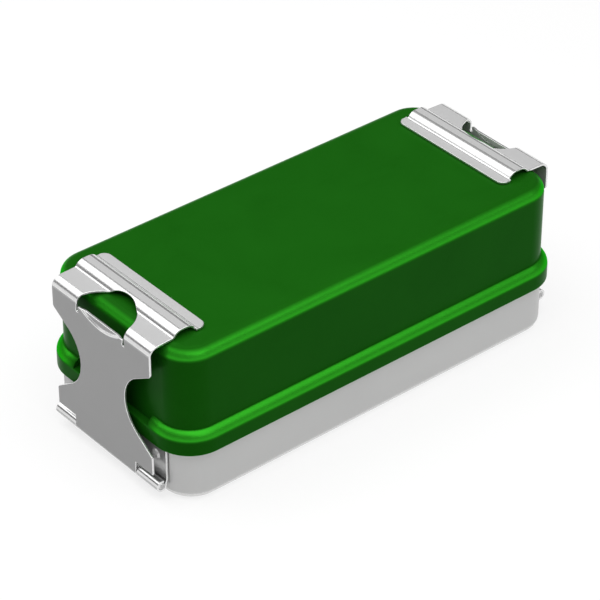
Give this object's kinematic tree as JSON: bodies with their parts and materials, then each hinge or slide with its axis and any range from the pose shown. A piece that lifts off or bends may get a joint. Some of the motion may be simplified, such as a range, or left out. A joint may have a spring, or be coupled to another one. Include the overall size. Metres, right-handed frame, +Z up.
{
  "type": "implant container",
  "caption": "Oblong sterilizing container for implants: silver base, tall coloured lid held by hinged spring clamps, and a lift-out tray with a screw rack.",
  "frame": {"origin": "centre of the base's underside, on the table", "axes": "+X along the length towards the right clamp, +Y across the width towards the back, +Z up"},
  "size_m": [0.21, 0.0946, 0.0759],
  "materials": {
    "base_aluminium": "satin, clear anodised",
    "lid_aluminium": "satin, green anodised",
    "spring_steel": "tumbled, satin",
    "hinge_steel": "satin",
    "rivet_steel": "bright",
    "gasket_silicone": "matt",
    "filter_fleece": "fine fleece",
    "sheet_steel": "satin",
    "latch_plastic": "semi-gloss",
    "tray_aluminium": "satin, clear anodised",
    "feet_plastic": "matt",
    "rack_aluminium": "satin, blue anodised",
    "mat_silicone": "matt"
  },
  "bodies": {
    "base": {"base_tray": "base_aluminium", "left_bracket": "hinge_steel", "right_bracket": "hinge_steel", "left_bracket_rivets": "rivet_steel", "right_bracket_rivets": "rivet_steel", "left_hinge_pin": "hinge_steel", "right_hinge_pin": "hinge_steel", "filter_sheet": "filter_fleece", "filter_retainer": "sheet_steel", "retainer_stud": "rivet_steel"},
    "left_clamp": {"left_clamp": "spring_steel"},
    "right_clamp": {"right_clamp": "spring_steel"},
    "lid": {"lid_shell": "lid_aluminium", "lid_gasket": "gasket_silicone"},
    "latch": {"retainer_latch": "latch_plastic"},
    "tray": {"inner_tray": "tray_aluminium", "tray_feet": "feet_plastic", "tray_ears": "sheet_steel", "screw_rack": "rack_aluminium", "rack_screws": "rivet_steel", "rack_nuts": "rivet_steel", "rack_hinge_pin": "rivet_steel", "tray_mat": "mat_silicone"},
    "left_handle": {"left_tray_handle": "rivet_steel"},
    "right_handle": {"right_tray_handle": "rivet_steel"},
    "rack_cover": {"rack_cover": "sheet_steel"}
  },
  "joints": [
    {"name": "left_clamp_hinge", "type": "hinge", "parent": "base", "child": "left_clamp", "pos_m": [-0.1025, 0, 0.007], "axis": [0, -1, 0], "range_deg": [0, 90]},
    {"name": "right_clamp_hinge", "type": "hinge", "parent": "base", "child": "right_clamp", "pos_m": [0.1025, 0, 0.007], "axis": [0, 1, 0], "range_deg": [0, 90]},
    {"name": "lid_lift", "type": "slide", "parent": "base", "child": "lid", "axis": [0, 0, 1], "range_m": [0, 0.022]},
    {"name": "tray_lift", "type": "slide", "parent": "base", "child": "tray", "axis": [0, 0, 1], "range_m": [0, 0.0315]},
    {"name": "left_handle_swing", "type": "hinge", "parent": "tray", "child": "left_handle", "pos_m": [-0.09285, 0, 0.02955], "axis": [0, -1, 0], "range_deg": [0, 180]},
    {"name": "right_handle_swing", "type": "hinge", "parent": "tray", "child": "right_handle", "pos_m": [0.09285, 0, 0.02955], "axis": [0, 1, 0], "range_deg": [0, 180]},
    {"name": "rack_cover_hinge", "type": "hinge", "parent": "tray", "child": "rack_cover", "pos_m": [0, -0.00495, 0.02715], "axis": [-1, 0, 0], "range_deg": [0, 100]},
    {"name": "latch_turn", "type": "hinge", "parent": "base", "child": "latch", "pos_m": [0, 0, 0.005], "axis": [0, 0, 1], "range_deg": [0, 90]}
  ],
  "couplings": [
    {"joint": "right_clamp_hinge", "follows": "left_clamp_hinge", "ratio": 1},
    {"joint": "lid_lift", "follows": "left_clamp_hinge", "m_per_rad": 0.014},
    {"joint": "tray_lift", "follows": "left_clamp_hinge", "m_per_rad": 0.02}
  ]
}
